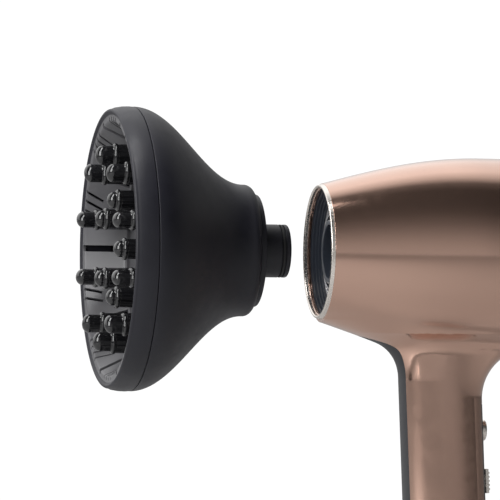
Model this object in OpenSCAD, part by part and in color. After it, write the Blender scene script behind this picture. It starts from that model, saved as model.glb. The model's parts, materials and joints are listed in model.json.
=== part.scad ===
// Hair dryer with a push-on diffuser, modelled as it comes apart on a bench.
// Frame: the origin is the centre of the air outlet, in the plane of the nose.
// The nose points along -X, the barrel runs along +X and the handle hangs along -Z.
// The diffuser is shown pulled off the nose, on the same axis.

/* [Barrel] */
// Outer radius of the barrel at the nose
nose_r = 33; // [32.5:0.1:34]
// Largest outer radius of the barrel
belly_r = 47; // [46:0.5:48]
// Distance from the nose to the widest place
belly_x = 80; // [76:1:84]
// Outer radius of the barrel at its rear seam
rear_r = 43.6; // [43:0.1:44]
// Length of the barrel from the nose to the rear seam
barrel_len = 152; // [150:1:154]
// Wall thickness of the housing
wall = 2.4; // [2:0.1:2.6]

/* [Handle] */
// Distance from the nose to the front of the handle
handle_x = 42.5; // [41:0.5:45]
// Depth of the handle, front to back
handle_depth = 41; // [39:0.5:43]
// Width of the handle, side to side
handle_w = 35; // [33:0.5:37]
// Height of the lowest point of the handle shells
handle_z = -188; // [-192:1:-184]
// Backward lean of the handle, millimetres for each millimetre of drop
rake = 0.05; // [0:0.01:0.07]
// Radius of the fillet that joins the handle to the barrel in front
root_r = 20; // [18:0.5:22]
// Width of the soft strip along the front of the handle
strip_w = 16; // [14:0.5:18]

/* [Outlet] */
// Radius of the outlet bore at the nose
outlet_r = 31.5; // [31.3:0.1:31.6]
// Radius of the socket in the grille hub that takes the diffuser plug
socket_r = 13.2; // [13.1:0.05:13.3]
// Number of spokes in the outlet grille
spokes = 16; // [12:1:18]

/* [Diffuser] */
// Largest radius of the diffuser
bell_r = 69.9; // [69:0.1:71]
// Radius of the waist of the bell
waist_r = 32.4; // [32:0.1:33]
// Outer radius of the collar behind the waist
collar_r = 27.6; // [27:0.1:27.9]
// Height of the bell, from its collar to the seam with the rim
bell_h = 62.5; // [60:0.5:65]
// Height of the rim above the seam
rim_h = 11.8; // [11.5:0.1:12.2]
// Radius of the plug that pushes into the grille hub
plug_r = 13.05; // [12.9:0.05:13.05]
// Length of the plug behind the collar
plug_len = 15.5; // [15:0.5:16]
// Number of fingers in the outer ring
fingers = 10; // [8:2:12]
// Distance between the diffuser collar and the nose while it is off
gap = 31; // [28:1:40]

/* [Hidden] */
$fn = 96;
big = 400;

// ---------------------------------------------------------------- colours
bronze = [0.62, 0.47, 0.40];
charcoal = [0.16, 0.16, 0.18];
gloss_black = [0.03, 0.03, 0.035];
slate = [0.12, 0.14, 0.18];
chrome = [0.85, 0.83, 0.80];
steel = [0.60, 0.60, 0.62];
mica = [0.78, 0.70, 0.55];
copper = [0.75, 0.42, 0.25];
white = [0.90, 0.90, 0.88];
board_green = [0.10, 0.35, 0.20];

// ---------------------------------------------------------------- helpers

// Turns a shape drawn along +Z so that it runs along +X from x.
module along_x(x = 0) translate([x, 0, 0]) rotate([0, 90, 0]) children();

// Turns a shape drawn along +Z so that it runs along +Y from y.
module along_y(y = 0) translate([0, y, 0]) rotate([-90, 0, 0]) children();

// A round tube along +X from x0 to x1.
module pipe(x0, x1, outer, inner) along_x(x0) difference() {
    cylinder(h = x1 - x0, r = outer);
    translate([0, 0, -1]) cylinder(h = x1 - x0 + 2, r = inner);
}

// A round bar along +X from x0 to x1.
module bar(x0, x1, r) along_x(x0) cylinder(h = x1 - x0, r = r);

// Points of an arc about c, from angle a0 to a1, in n steps.
function arc(c, r, a0, a1, n) = [
    for (i = [0:n]) let(a = a0 + (a1 - a0) * i / n) [c[0] + r * cos(a), c[1] + r * sin(a)]
];

// A closed solid through rings of points, each ring counter-clockwise seen from above.
module loft(rings) {
    n = len(rings[0]);
    last = len(rings) - 1;
    polyhedron(
        points = [for (ring = rings) each ring],
        faces = concat(
            [[for (i = [0:n - 1]) i]],
            [[for (i = [n - 1:-1:0]) last * n + i]],
            [
                for (k = [0:last - 1], i = [0:n - 1], half = [0, 1])
                    let(a = k * n + i, b = k * n + (i + 1) % n)
                    half == 0 ? [a, a + n, b + n] : [a, b + n, b]
            ]
        )
    );
}

// ---------------------------------------------------------------- barrel

function barrel_r(x) = x < belly_x
    ? nose_r + (belly_r - nose_r) * sin(90 * x / belly_x)
    : belly_r - (belly_r - rear_r) * pow((x - belly_x) / (barrel_len - belly_x), 2);

ring_len = 2;                 // depth of the nose ring
barrel_step = 4;              // length of one stretch of the barrel's outline
nose_inner_r = outlet_r + 0.3;

// The barrel as a solid, smaller by inset all round, from x0 to x1.
module barrel_solid(inset, x0, x1) {
    n = ceil((x1 - x0) / barrel_step);
    outline = [
        for (i = [0:n]) let(x = x0 + (x1 - x0) * i / n)
            [inset > 0 ? max(barrel_r(x) - inset, nose_inner_r) : barrel_r(x), x]
    ];
    along_x() rotate_extrude() polygon(concat([[0, x0]], outline, [[0, x1]]));
}

// ---------------------------------------------------------------- handle

keel_slope = 0.392;           // fall of the barrel's underside towards the handle
keel_angle = atan(keel_slope);
keel_x = handle_x - root_r + root_r * sin(keel_angle);
keel_z = -(nose_r + 0.2) - keel_slope * (keel_x - 1.5);
root_z = keel_z - root_r * cos(keel_angle);
back_r = 24;                  // radius of the fillet behind the handle
back_x = handle_x + handle_depth;
back_z = -(belly_r + back_r);
side_r = 12;                  // radius of the fillets beside the handle
side_y = handle_w / 2 + side_r;
side_z = -sqrt(pow(belly_r - 1 + side_r, 2) - side_y * side_y);
side_top = side_z * (belly_r - 1) / (belly_r - 1 + side_r);
handle_top = -(nose_r + 0.2);
waist_taper = 1.2 / 130;      // narrowing of the handle towards its lower end

function handle_front(z) = z < root_z
    ? handle_x + rake * (root_z - z)
    : z < keel_z
        ? handle_x - root_r + sqrt(root_r * root_r - pow(z - root_z, 2))
        : keel_x - (z - keel_z) / keel_slope;

function handle_back(z) = z < back_z
    ? back_x + rake * (back_z - z)
    : back_x + back_r - sqrt(max(0, back_r * back_r - pow(z - back_z, 2)));

function handle_half(z) = z < side_z
    ? handle_w / 2 - waist_taper * (side_z - z)
    : side_y - sqrt(side_r * side_r - pow(min(z, side_top) - side_z, 2));

// Exponents of the section: 2 is an ellipse, more is squarer, less is more pointed.
function front_power(z) = z < root_z ? 2.5 : 2.5 - 0.8 * min(1, (z - root_z) / (keel_z - root_z));
function signed_power(v, p) = sign(v) * pow(abs(v), p);

sides = 40;

// One section of the handle at height z, smaller by inset.
// It has the shape that the outside has at height shape_z.
function handle_ring(z, inset, shape_z) = let(
    front = handle_front(shape_z) + inset,
    back = handle_back(shape_z) - inset,
    middle = (back_x + handle_x) / 2 + rake * max(0, root_z - shape_z),
    half = handle_half(shape_z) - inset
) [
    for (i = [0:sides - 1]) let(
        a = 360 * i / sides,
        p = 2 / (cos(a) < 0 ? front_power(shape_z) : 2.5)
    ) [
        middle + signed_power(cos(a), p) * (cos(a) < 0 ? middle - front : back - middle),
        signed_power(sin(a), p) * half,
        z
    ]
];

ring_count = 26;
ring_crowding = 1.6;          // how much closer the sections stand towards the barrel

// The handle as a solid, smaller by inset all round, from its lower end up into the barrel.
module handle_solid(inset) {
    top = inset > 0 ? handle_top + inset : handle_top;
    low = inset > 0 ? handle_z - 1 : handle_z;
    loft([
        for (i = [0:ring_count])
            let(z = top - (top - low) * pow(1 - i / ring_count, ring_crowding))
            handle_ring(z, inset, z - inset)
    ]);
}

// ---------------------------------------------------------------- housing

strip_top = -49.5;            // centre of the strip's round upper end
panel_w = 18;
panel_top = -74;
panel_low = -152;
seam = 0.12;                  // half of the gap round the strip and the panel
boss_r = 3.2;
boss_len = 14;
boss_at = [[53, -84], [56, -160]];   // places of the housing screws, [x, z]
screw_r = 1.4;
screw_head_r = 2.7;

// The wall of the whole housing, before it is split.
module housing_wall() difference() {
    union() {
        barrel_solid(0, ring_len, barrel_len);
        intersection() {
            handle_solid(0);
            translate([ring_len, -big / 2, -big]) cube([big, big, big]);
        }
    }
    barrel_solid(wall, ring_len - 1, barrel_len + 1);
    handle_solid(wall);
}

module strip_zone(grow) {
    translate([10, -strip_w / 2 - grow, handle_z - 2])
        cube([handle_x, strip_w + 2 * grow, strip_top - handle_z + 2]);
    translate([10, 0, strip_top]) along_x() cylinder(h = handle_x, r = strip_w / 2 + grow);
}

module panel_zone(grow) {
    depth = 30;
    translate([back_x - 8, -panel_w / 2 - grow, panel_low - grow])
        cube([depth, panel_w + 2 * grow, panel_top - panel_low + 2 * grow]);
}

module screw_bosses(side, hole_r) for (p = boss_at) {
    translate([p[0], 0, p[1]]) along_y(side > 0 ? 0 : -boss_len) difference() {
        cylinder(h = boss_len, r = boss_r);
        translate([0, 0, -1]) cylinder(h = boss_len + 2, r = hole_r);
    }
}

// The block inside one shell that the cord clamp is screwed to.
module clamp_block(side) difference() {
    translate([gland_x - 13.2, side > 0 ? 4.5 : -14.2, clamp_z]) cube([4, 9.7, clamp_h]);
    translate([gland_x - 14, side * clamp_screw_y, clamp_z + clamp_h / 2])
        along_x() cylinder(h = 6, r = clamp_screw_r + 0.05);
}

// One side of the housing: side -1 is the left, side 1 the right.
module housing_half(side) color(bronze) {
    difference() {
        intersection() {
            housing_wall();
            translate([-big / 2, side > 0 ? 0 : -big, -big / 2]) cube([big, big, big]);
        }
        strip_zone(seam);
        panel_zone(seam);
        if (side > 0) for (p = boss_at) translate([p[0], 0, p[1]]) {
            along_y(boss_len) cylinder(h = 30, r = screw_head_r + 0.3);
            along_y(-1) cylinder(h = boss_len + 2, r = screw_r + 0.15);
        }
    }
    clamp_block(side);
    screw_bosses(side, side > 0 ? screw_r + 0.15 : screw_r + 0.05);
}

module housing_left() housing_half(-1);
module housing_right() housing_half(1);

module handle_front_strip() color(charcoal) intersection() {
    housing_wall();
    strip_zone(0);
}

speed_z = -138;               // middle of each slider at rest, and of the button
heat_z = -112;
cool_z = -87;
stem_w = 5.6;
stem_h = 6;
slider_travel = 6;            // two clicks up from rest
button_r = 5.2;

module switch_panel() color(charcoal) difference() {
    intersection() {
        housing_wall();
        panel_zone(0);
    }
    for (z = [speed_z, heat_z]) translate([back_x - 10, -stem_w / 2 - 0.3, z - stem_h / 2 - 0.4])
        cube([30, stem_w + 0.6, stem_h + slider_travel + 0.8]);
    translate([back_x - 10, 0, cool_z]) along_x() cylinder(h = 30, r = button_r + 0.3);
}

cap_steps = [[8, 5.5], [7.4, 3], [5.6, 1.2], [3, 0.3], [0.1, 0]];   // [depth, inset] of its rings

module handle_end_cap() color(charcoal) difference() {
    loft([for (s = cap_steps) handle_ring(handle_z - s[0], s[1], handle_z)]);
    translate([gland_x, 0, handle_z - 10]) cylinder(h = 12, r = gland_r + 0.05);
    translate([loop_x - 7, -loop_t / 2 - 0.1, handle_z - 10]) cube([8, loop_t + 0.2, 7]);
    translate([loop_x, 0, loop_z]) along_y(-loop_t / 2 - 0.1) cylinder(h = loop_t + 0.2, r = loop_r + 0.1);
}

// ---------------------------------------------------------------- cord inlet and loop

gland_x = handle_x + handle_depth / 2 + 5;
gland_r = 6.5;
cord_hole_r = 3.7;
loop_x = gland_x + 18;
loop_t = 5;
loop_hole_r = 4.5;
loop_r = 7.7;
loop_z = handle_z - 13.2;
loop_root_z = handle_z - 3;      // top of the loop's tab, inside the end cap

module cord_gland() color(gloss_black) difference() {
    translate([gland_x, 0, 0]) rotate_extrude() polygon([
        [0, handle_z + 5], [gland_r + 2, handle_z + 5], [gland_r + 2, handle_z], [gland_r, handle_z],
        [gland_r, handle_z - 8], [gland_r - 0.6, handle_z - 12], [0, handle_z - 12]
    ]);
    translate([gland_x, 0, handle_z - 14]) cylinder(h = 22, r = cord_hole_r);
}

module hang_loop() color(charcoal) difference() {
    union() {
        translate([loop_x, -loop_t / 2, loop_z]) along_y() cylinder(h = loop_t, r = loop_r);
        translate([loop_x - 7, -loop_t / 2, loop_z]) cube([8, loop_t, loop_root_z - loop_z]);
    }
    translate([loop_x, -loop_t / 2 - 1, loop_z]) along_y() cylinder(h = loop_t + 2, r = loop_hole_r);
    translate([gland_x, 0, handle_z - 20]) cylinder(h = 30, r = gland_r + 0.3);
}

clamp_z = handle_z + 12;
clamp_h = 8;
clamp_screw_y = 7.5;
clamp_screw_r = 1.1;

module cord_clamp() color(white) difference() {
    translate([gland_x - 9.1, -10, clamp_z]) cube([6, 20, clamp_h]);
    translate([gland_x, 0, clamp_z - 1]) cylinder(h = clamp_h + 2, r = cord_hole_r);
    for (y = [-clamp_screw_y, clamp_screw_y]) translate([gland_x - 10, y, clamp_z + clamp_h / 2])
        along_x() cylinder(h = 8, r = clamp_screw_r + 0.1);
}

module clamp_screws() color(steel) for (y = [-clamp_screw_y, clamp_screw_y])
    translate([gland_x, y, clamp_z + clamp_h / 2]) {
        along_x(-13) cylinder(h = 9.95, r = clamp_screw_r);
        along_x(-3.05) cylinder(h = 1.6, r = 2.2);
    }

module housing_screws() color(steel) for (p = boss_at) translate([p[0], 0, p[1]]) {
    along_y(-9) cylinder(h = 9 + boss_len, r = screw_r);
    along_y(boss_len) difference() {
        cylinder(h = 1.6, r = screw_head_r);
        for (a = [0, 90]) rotate([0, 0, a]) translate([-2, -0.4, 0.8]) cube([4, 0.8, 2]);
    }
}

// ---------------------------------------------------------------- outlet

module nose_ring() color(chrome) along_x() rotate_extrude() polygon(concat(
    [[outlet_r, ring_len]], [[outlet_r, 0.7]],
    arc([outlet_r + 0.75, 0.75], 0.75, 180, 360, 8),
    [[nose_r + 0.35, ring_len]]
));

sleeve_r = outlet_r + 0.1;
steps = [[31.5, 2, 4.4], [30.4, 4.4, 5.9], [29.6, 5.9, 7.2], [28.9, 7.2, 8.4], [28.2, 8.4, 17]];

module outlet_sleeve() color(slate) {
    along_x() rotate_extrude() polygon(concat(
        [[sleeve_r + 0.15, ring_len], [outlet_r, ring_len]],
        [for (s = steps, k = [1, 2]) [s[0], s[k]]],
        [[31.7, 17], [31.7, 22], [33.3, 22], [33.3, 12], [sleeve_r + 0.15, 12]]
    ));
}

hub_x = 5.6;
hub_r = 15.7;
socket_end = 20.6;            // floor of the socket
grille_rings = [[18.6, 6.6], [21.7, 7.4], [24.8, 8.2]];

module outlet_grille() color(slate) {
    difference() {
        union() {
            bar(hub_x, socket_end + 1.6, hub_r);
            for (g = grille_rings) pipe(g[1], g[1] + 4, g[0] + 0.5, g[0] - 0.5);
            pipe(9, 15, 28.05, 27);
            for (i = [0:spokes - 1]) rotate([360 * i / spokes, 0, 0])
                translate([9, -0.45, hub_r - 1]) cube([3.4, 0.9, 28 - hub_r]);
        }
        bar(hub_x - 1, socket_end, socket_r);
    }
}

// ---------------------------------------------------------------- heater

coil_x = [for (i = [0:6]) 30 + 8 * i];
coil_rings = [25, 17];
coil_r = 1.3;

module heater_tube() color(mica) pipe(18, 91, 31.5, 30.8);

module heater_frame() color(mica) difference() {
    union() {
        translate([24, -0.4, -30.6]) cube([62, 0.8, 61.2]);
        translate([24, -30.6, -0.4]) cube([62, 61.2, 0.8]);
    }
    for (x = coil_x, r = coil_rings) translate([x, 0, 0]) rotate([0, 90, 0])
        rotate_extrude() translate([r, 0]) circle(r = coil_r + 0.15, $fn = 24);
}

module heater_coils() color(steel) for (x = coil_x, r = coil_rings)
    translate([x, 0, 0]) rotate([0, 90, 0]) rotate_extrude() translate([r, 0]) circle(r = coil_r, $fn = 24);

module thermostat() color(white) translate([66, 0.5, 4]) cube([12, 5, 8]);

module thermal_fuse() color(steel) translate([64, -3, 8]) along_x() {
    cylinder(h = 12, r = 1.8);
    translate([0, 0, -4]) cylinder(h = 20, r = 0.5);
}

module ion_module() color(gloss_black) {
    translate([54, -6, 33.4]) cube([18, 12, 6]);
    translate([40, 0, 35.4]) along_x() cylinder(h = 14, r = 1);
}

// ---------------------------------------------------------------- fan and motor

motor_x0 = 100.1;
motor_x1 = 126;
motor_r = 16.5;
bearing_r = 5;
shaft_r = 2;
blades = 7;
vanes = 9;
duct_r = 34;
duct_wall = 1.2;

module fan_shroud() color(gloss_black) {
    along_x() rotate_extrude() polygon([
        [31.7, 88], [duct_r + duct_wall, 88], [duct_r + duct_wall, 94], [43.8, 94], [43.8, 96],
        [duct_r + duct_wall, 96], [duct_r + duct_wall, 143], [37.6, 147.5], [37.6, 149],
        [36.4, 149], [duct_r, 144], [duct_r, 91.3], [31.7, 91.3]
    ]);
    pipe(100, 124, 19.6, 18.2);
    pipe(98.6, 100, 19.6, 7);
    for (i = [0:vanes - 1]) rotate([360 * i / vanes + 20, 0, 0])
        translate([102, 0, 19]) rotate([0, 0, 25]) cube([18, 1.2, 15.6]);
}

module motor_can() color(steel) {
    pipe(motor_x0 + 3.4, motor_x1, motor_r, motor_r - 1.2);
    pipe(motor_x1, motor_x1 + 1.2, motor_r, bearing_r + 0.05);
}

module motor_end_cap() color(white) pipe(motor_x0, motor_x0 + 3.35, motor_r, bearing_r + 0.05);

module motor_damper() color(gloss_black) pipe(105, 121, 18.15, motor_r + 0.05);

module motor_magnets() color(charcoal) difference() {
    pipe(108.5, 122, motor_r - 1.25, 12.6);
    for (z = [-15, 15]) translate([108, -20, z - 5]) cube([15, 40, 10]);
}

module brushes() color(charcoal) for (s = [-1, 1])
    translate([104.6, s > 0 ? 3.8 : -9.8, -1.5]) cube([3, 6, 3]);

module front_bearing() color(copper) pipe(motor_x0, motor_x0 + 3, bearing_r, shaft_r + 0.03);
module rear_bearing() color(copper) pipe(motor_x1 - 1.8, motor_x1 + 1.2, bearing_r, shaft_r + 0.03);

module motor_shaft() color(steel) bar(96, 146, shaft_r);

module armature() color(copper) difference() {
    pipe(109.4, 121, 11.8, shaft_r);
    for (i = [0:4]) rotate([72 * i + 36, 0, 0]) translate([108, -1, 8]) cube([15, 2, 6]);
}

module commutator() color(copper) pipe(103.8, 108.6, 3.7, shaft_r);

module impeller() color(slate) {
    difference() {
        along_x() rotate_extrude() polygon(concat(
            [[shaft_r, 130], [13, 130], [13, 140]], arc([5, 140], 8, 0, 80, 6), [[shaft_r, 148]]
        ));
        bar(128, 132.5, 11.4);
    }
    intersection() {
        for (i = [0:blades - 1]) rotate([360 * i / blades, 0, 0])
            translate([138, -0.7, 12]) rotate([0, 0, 40]) translate([-11, 0, 0]) cube([22, 1.4, 24]);
        pipe(130.4, 145, 33.3, 12.8);
    }
}

// ---------------------------------------------------------------- rear end

cover_x = barrel_len + 2.3;
cover_len = 26;
cover_end_r = 27;

module rear_ring() color(chrome) along_x() rotate_extrude() polygon([
    [40.1, barrel_len - 6], [41, barrel_len - 6], [41, barrel_len], [rear_r - 0.1, barrel_len],
    [rear_r + 0.2, barrel_len + 0.6], [rear_r + 0.2, barrel_len + 1.4], [rear_r - 0.1, barrel_len + 2],
    [40.1, barrel_len + 2]
]);

cover_wall = 2;
skirt_r = 39.7;
cover_steps = 14;
inlet_slots = 40;
inlet_rings = [7, 12, 17, 22];

function cover_r(t) = cover_end_r + (rear_r - 0.2 - cover_end_r) * sqrt(1 - pow(t, 2.4));

// Outline of the rear cover, moved in by inset, from its step a to its end.
function cover_outline(inset, a) = [
    for (i = [a:cover_steps]) let(t = i / cover_steps)
        [cover_r(t) - inset, cover_x + (cover_len - inset) * t]
];

module rear_cover() color(charcoal) difference() {
    along_x() rotate_extrude() polygon(concat(
        [[0, cover_x + cover_len - cover_wall], [0, cover_x + cover_len]],
        [for (i = [cover_steps:-1:0]) cover_outline(0, 0)[i]],
        [[skirt_r, cover_x], [skirt_r, cover_x - 6]],
        [[skirt_r - 1.4, cover_x - 6], [skirt_r - 1.4, cover_x + 3]],
        cover_outline(cover_wall, 3)
    ));
    for (i = [0:inlet_slots - 1]) rotate([360 * i / inlet_slots, 0, 0])
        translate([cover_x + 9, -0.9, 28.6]) cube([cover_len, 1.8, 20]);
    difference() {
        for (r = inlet_rings) pipe(cover_x + cover_len - 4, cover_x + cover_len + 1, r + 1.4, r - 1.4);
        for (a = [0:60:120]) rotate([a, 0, 0]) translate([cover_x, -1.2, -30]) cube([cover_len + 5, 2.4, 60]);
    }
}

module inlet_filter() color(steel) bar(cover_x + 4.9, cover_x + 5.5, 36);

module filter_frame() color(charcoal) pipe(cover_x + 4.2, cover_x + 6.2, 38.2, 36.05);

// ---------------------------------------------------------------- handle electronics

board_x = back_x - 18;
board_t = 1.6;
board_low = -152;

module control_board() color(board_green)
    translate([board_x, -11, board_low]) cube([board_t, 22, 76]);

module filter_capacitor() color([0.75, 0.6, 0.1])
    translate([board_x - 9.05, -7, board_low + 3]) cube([9, 14, 18]);

module rectifier_diodes() color(gloss_black) for (i = [0:3])
    translate([board_x - 1.85, -7.5 + 5 * i, -122]) cylinder(h = 7, r = 1.7);

// A switch block on the board, h tall and d deep, with its middle at z.
module switch_body(z, h, d) translate([board_x + board_t + 0.05, -6, z - h / 2]) cube([d, 12, h]);

module speed_switch() color(white) switch_body(speed_z + slider_travel / 2, 17, 8.6);
module heat_switch() color(white) switch_body(heat_z + slider_travel / 2, 17, 8.6);
module cool_switch() color(white) switch_body(cool_z, 10, 6);

// A slider: its stem, the shutter behind the panel and the ribbed thumb piece outside.
module slider(z) {
    surface = handle_back(z);
    foot = board_x + 11.2;
    stem_len = surface + 0.6 - foot;
    translate([surface, 0, z]) rotate([0, -atan(rake), 0]) {
        translate([0.6 - stem_len, -stem_w / 2, -stem_h / 2]) cube([stem_len, stem_w, stem_h]);
        translate([-wall - 1.6, -5.4, -stem_h / 2 - 6.4]) cube([0.8, 10.8, stem_h + 12.8]);
        translate([0.35, -4.4, -6]) cube([1.5, 8.8, 12]);
        for (i = [-2:2]) translate([1.8, -3.6, 2 * i - 0.45]) cube([0.7, 7.2, 0.9]);
    }
}

module speed_slider() color(chrome) slider(speed_z);
module heat_slider() color(chrome) slider(heat_z);

button_x = board_x + 12.6;
cool_switch_x = board_x + board_t + 6.05;

module cool_button() color(chrome) translate([0, 0, cool_z]) {
    flange_r = button_r + 0.8;
    along_x() rotate_extrude() polygon(concat(
        [[0, button_x], [flange_r, button_x], [flange_r, button_x + 1.2], [button_r, button_x + 1.2]],
        arc([button_r - 1, handle_back(cool_z) + 0.8], 1, 0, 90, 5),
        [[0, handle_back(cool_z) + 1.4]]
    ));
}

module cool_spring() color(steel) translate([0, 0, cool_z])
    pipe(cool_switch_x + 0.05, button_x - 0.05, 3, 2.2);

// ---------------------------------------------------------------- leads

function smooth_path(p, n) = [
    for (k = [0:len(p) - 2], j = [0:n - 1]) let(
        t = j / n,
        a = p[max(0, k - 1)], b = p[k], c = p[k + 1], d = p[min(len(p) - 1, k + 2)]
    ) 0.5 * (2 * b + (c - a) * t + (2 * a - 5 * b + 4 * c - d) * t * t + (3 * b - a - 3 * c + d) * t * t * t)
];

function unit(v) = v / norm(v);

// A round lead of radius r along the points of path.
module lead(path, r, lead_sides = 8) {
    p = smooth_path(path, 5);
    last = len(p) - 1;
    rings = [
        for (i = [0:last]) let(
            t = unit(p[min(last, i + 1)] - p[max(0, i - 1)]),
            u = unit(cross(t, [0, 1, 0.001])),
            v = cross(t, u)
        ) [for (j = [0:lead_sides - 1]) let(a = -360 * j / lead_sides) p[i] + r * (cos(a) * u + sin(a) * v)]
    ];
    loft(rings);
}

lead_r = 0.9;
board_edge = board_x - lead_r;

module motor_leads() color([0.7, 0.1, 0.1]) for (s = [-1, 1]) lead([
    [board_edge, 4 * s, -80], [board_edge - 2, 4 * s, -70], [70, 5 * s, -56],
    [78, 6 * s, -44], [88, 6 * s, -40], [94, 6 * s, -38.4]
], lead_r);

module heater_leads() color(white) for (s = [-1, 1]) lead([
    [board_edge, 8 * s, -80], [board_edge - 3, 8 * s, -70], [60, 9 * s, -56],
    [56, 10 * s, -46], [48, 10 * s, -38], [40, 10 * s, -35]
], lead_r);

// ---------------------------------------------------------------- diffuser

// Places a part drawn with its collar face at z = 0 and its open front towards +Z.
module on_diffuser() translate([-gap, 0, 0]) rotate([0, -90, 0]) children();

bell_foot = 7;                // height above the collar at which the flare begins
bell_steps = 28;

function bell_step(i) = bell_foot + (bell_h - bell_foot) * i / bell_steps;

// Outer radius of the bell at height u above the collar.
function bell_curve(u) = waist_r
    + (bell_r - waist_r) * (1 - cos(180 * (u - bell_foot) / (bell_h - bell_foot))) / 2;

bell_wall = 2;
waist_round = 4;

module diffuser_bell() color(charcoal) on_diffuser() rotate_extrude() polygon(concat(
    [[collar_r - bell_wall, 0], [collar_r, 0], [collar_r, 2.6]],
    arc([waist_r - waist_round, 2.7 + waist_round], waist_round, -90, 0, 6),
    [for (i = [1:bell_steps]) [bell_curve(bell_step(i)), bell_step(i)]],
    [[bell_r - bell_wall, bell_h]],
    [for (i = [bell_steps:-1:1]) let(u = bell_step(i) - 0.8) [bell_curve(u) - bell_wall, u]],
    [[waist_r - 2.2, 7], [waist_r - 2.2, 5.4], [collar_r - bell_wall, 4.4]]
));

rim_top = bell_h + rim_h;
land_r = 62.6;                // inner edge of the flat land inside the lip
wall_foot_r = 53.3;           // where the sloping wall meets the floor
slot_end_r = 64.9;
floor_top = 52.5;
narrow_slots = 4;             // between two wide ones
slot_pitch = 4.4;             // degrees between the narrow slots
slot_slant = 22;              // degrees that the narrow slots lean round the rim
narrow_slot_z = rim_top - 9.4;
sector = 360 / fingers;

// A slot down the land and the sloping wall of the rim at angle a, w wide, from low_r and low_z outwards.
// It leans round the rim by slant degrees, about the middle of the slot.
module wall_slot(a, w, low_r, low_z, slant) rotate([0, 0, a])
    translate([0, 0, low_z + 4]) rotate([slant, 0, 0]) {
        translate([low_r, -w / 2, -4]) cube([slot_end_r - w / 2 - low_r, w, 30]);
        translate([slot_end_r - w / 2, 0, -4]) cylinder(h = 30, r = w / 2, $fn = 16);
    }

module diffuser_rim() color(charcoal) on_diffuser() difference() {
    rotate_extrude() polygon(concat(
        [[bell_r, bell_h + 0.25], [bell_r + 0.1, bell_h + 2.5], [bell_r, bell_h + 5.5],
         [bell_r - 0.5, bell_h + 8.6], [bell_r - 1.2, rim_top - 1.3]],
        arc([bell_r - 2.4, rim_top - 1.2], 1.2, 0, 150, 7),
        [[slot_end_r + 0.9, rim_top - 1.1], [land_r + 0.5, rim_top - 1.2], [land_r, rim_top - 1.6],
         [wall_foot_r, floor_top + 2.6], [wall_foot_r - 0.7, floor_top + 1.7],
         [wall_foot_r - 1.4, floor_top + 1.5], [wall_foot_r - 1.4, floor_top + 0.05],
         [wall_foot_r + 1.1, floor_top + 0.05], [wall_foot_r + 1.3, floor_top + 2],
         [land_r + 1.2, rim_top - 2.4], [bell_r - 3.9, rim_top - 2.5], [bell_r - 3.9, bell_h - 3.7],
         [bell_r - 2.5, bell_h - 3.7], [bell_r - 2.5, bell_h + 0.25]]
    ));
    for (i = [0:fingers - 1]) wall_slot(sector * (i + 0.5), 3.1, wall_foot_r - 0.6, floor_top + 1.9, 0);
    for (i = [0:fingers - 1], j = [0:narrow_slots - 1]) wall_slot(
        sector * i + slot_pitch * (j - (narrow_slots - 1) / 2), 1.3, wall_foot_r + 1, narrow_slot_z,
        slot_slant
    );
}

outer_ring_r = 45.7;
inner_ring_r = 25;
finger_foot_r = 2.4;
air_hole_r = 1.8;

// A hole through the floor at angle a, on a circle of radius ring_r.
module floor_hole(a, ring_r, hole_r) rotate([0, 0, a]) translate([ring_r, 0, floor_top - 3])
    cylinder(h = 4, r = hole_r, $fn = 32);

module diffuser_floor() color(charcoal) on_diffuser() difference() {
    translate([0, 0, floor_top - 2]) cylinder(h = 2, r = wall_foot_r + 1.9);
    for (i = [0:fingers - 1]) {
        floor_hole(sector * i, outer_ring_r, finger_foot_r + 0.05);
        floor_hole(sector * (i + 0.5), 36, air_hole_r);
    }
    for (i = [0:fingers / 2 - 1]) {
        floor_hole(2 * sector * i - 90, inner_ring_r, finger_foot_r + 0.05);
        floor_hole(2 * sector * i + 90, 13, air_hole_r);
    }
}

bead_r = 1.3;
bead_z = 18.5;                // height of the bead above the floor
outer_tip_r = 4.75;
inner_tip_r = 4.05;
outer_flat = 0.81;            // the outer fingers are ovals, this much narrower round the ring
dome_h = 3.2;

// Outline of one finger of height h and tip radius r, standing on z = 0 with its foot below.
function finger_outline(h, r) = concat(
    [[0, -1.9], [finger_foot_r, -1.9], [finger_foot_r, 0]],
    [[r + 1.2, 0], [r + 1.1, 0.7], [r + 1, 2.6], [r + 0.8, bead_z - 1.5]],
    arc([r + 0.15, bead_z], bead_r, -62, 90, 8),
    [[r - 0.1, bead_z + 1.5]],
    [for (i = [0:8]) [r * cos(11.25 * i), h - dome_h + dome_h * sin(11.25 * i)]]
);

module finger(h, r) rotate_extrude($fn = 32) polygon(finger_outline(h, r));

module outer_fingers() color(gloss_black) on_diffuser() for (i = [0:fingers - 1])
    rotate([0, 0, sector * i]) translate([outer_ring_r, 0, floor_top])
        scale([1, outer_flat, 1]) finger(28.5, outer_tip_r);

module inner_fingers() color(gloss_black) on_diffuser() for (i = [0:fingers / 2 - 1])
    rotate([0, 0, 2 * sector * i - 90]) translate([inner_ring_r, 0, floor_top])
        finger(24, inner_tip_r);

seal_z = -12;

module diffuser_plug() color(charcoal) on_diffuser() {
    rotate_extrude() polygon([
        [11.2, -plug_len], [plug_r - 1, -plug_len], [plug_r, -plug_len + 1], [plug_r, seal_z - 1.2],
        [plug_r - 1, seal_z - 1.2], [plug_r - 1, seal_z + 1.2], [plug_r, seal_z + 1.2], [plug_r, 4], [11.2, 4]
    ]);
    for (a = [0:90:270]) rotate([0, 0, a]) translate([12.2, -1, 0.4]) cube([12.6, 2, 3.6]);
    difference() {
        translate([0, 0, 0.4]) cylinder(h = 3.6, r = collar_r - bell_wall - 0.05);
        translate([0, 0, -1]) cylinder(h = 8, r = collar_r - bell_wall - 1.4);
    }
}

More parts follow.
